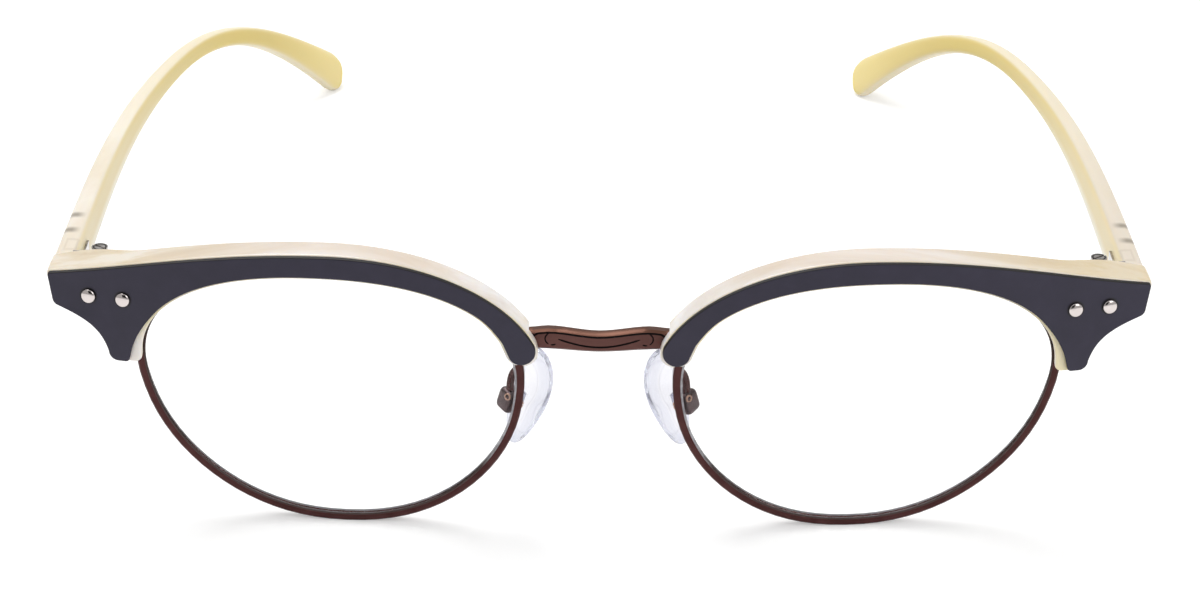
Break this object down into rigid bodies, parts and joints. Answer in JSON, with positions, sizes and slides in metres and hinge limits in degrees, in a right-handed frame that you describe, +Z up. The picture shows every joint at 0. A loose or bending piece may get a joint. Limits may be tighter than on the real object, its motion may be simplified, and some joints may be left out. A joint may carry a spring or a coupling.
{
  "type": "browline glasses",
  "caption": "Browline glasses with a dark-faced cream brow over full metal eyewires, clear lenses, folding temples with curved tips and rocking nose pads.",
  "frame": {"origin": "middle of the bounding box at the height of the table the open glasses stand on", "axes": "+X to the wearer's left, the front looks along -Y, +Z up, millimetre sizes stored in metres"},
  "size_m": [0.1422, 0.147, 0.0391],
  "materials": {
    "brown_metal": "semi-gloss brown plating",
    "cream_acetate": "polished translucent pearl",
    "dark_acetate": "satin",
    "silver_studs": "polished",
    "screws": "turned",
    "hinge_leaves": "satin",
    "clear_lens": "polished clear",
    "clear_pad": "clear soft silicone"
  },
  "bodies": {
    "front": {"bridge": "brown_metal", "brow_body_left": "cream_acetate", "brow_body_right": "cream_acetate", "brow_face_left": "dark_acetate", "brow_face_right": "dark_acetate", "front_studs_left": "silver_studs", "front_studs_right": "silver_studs", "brow_screws_left": "screws", "brow_screws_right": "screws", "rim_left": "brown_metal", "rim_right": "brown_metal", "rim_lock_screw_left": "screws", "rim_lock_screw_right": "screws", "lens_left": "clear_lens", "lens_right": "clear_lens", "pad_arm_left": "brown_metal", "pad_arm_right": "brown_metal", "pad_screw_left": "screws", "pad_screw_right": "screws", "hinge_front_leaf_left": "hinge_leaves", "hinge_front_leaf_right": "hinge_leaves", "hinge_screw_left": "screws", "hinge_screw_right": "screws"},
    "temple_arm_left": {"temple_left": "cream_acetate", "temple_studs_left": "silver_studs", "hinge_temple_leaf_left": "hinge_leaves"},
    "temple_arm_right": {"temple_right": "cream_acetate", "temple_studs_right": "silver_studs", "hinge_temple_leaf_right": "hinge_leaves"},
    "pad_left": {"nose_pad_left": "clear_pad"},
    "pad_right": {"nose_pad_right": "clear_pad"}
  },
  "joints": [
    {"name": "temple_left_fold", "type": "hinge", "parent": "front", "child": "temple_arm_left", "pos_m": [0.0644, -0.05886, 0.031], "axis": [0, 0, 1], "range_deg": [0, 85]},
    {"name": "temple_right_fold", "type": "hinge", "parent": "front", "child": "temple_arm_right", "pos_m": [-0.0644, -0.05886, 0.031], "axis": [0, 0, -1], "range_deg": [0, 78]},
    {"name": "nose_pad_left_rock", "type": "hinge", "parent": "front", "child": "pad_left", "pos_m": [0.01125, -0.06703, 0.01665], "axis": [0.5519, 0.8192, 0.1562], "range_deg": [-8, 8]},
    {"name": "nose_pad_right_rock", "type": "hinge", "parent": "front", "child": "pad_right", "pos_m": [-0.01125, -0.06703, 0.01665], "axis": [-0.5519, 0.8192, 0.1562], "range_deg": [-8, 8]}
  ]
}
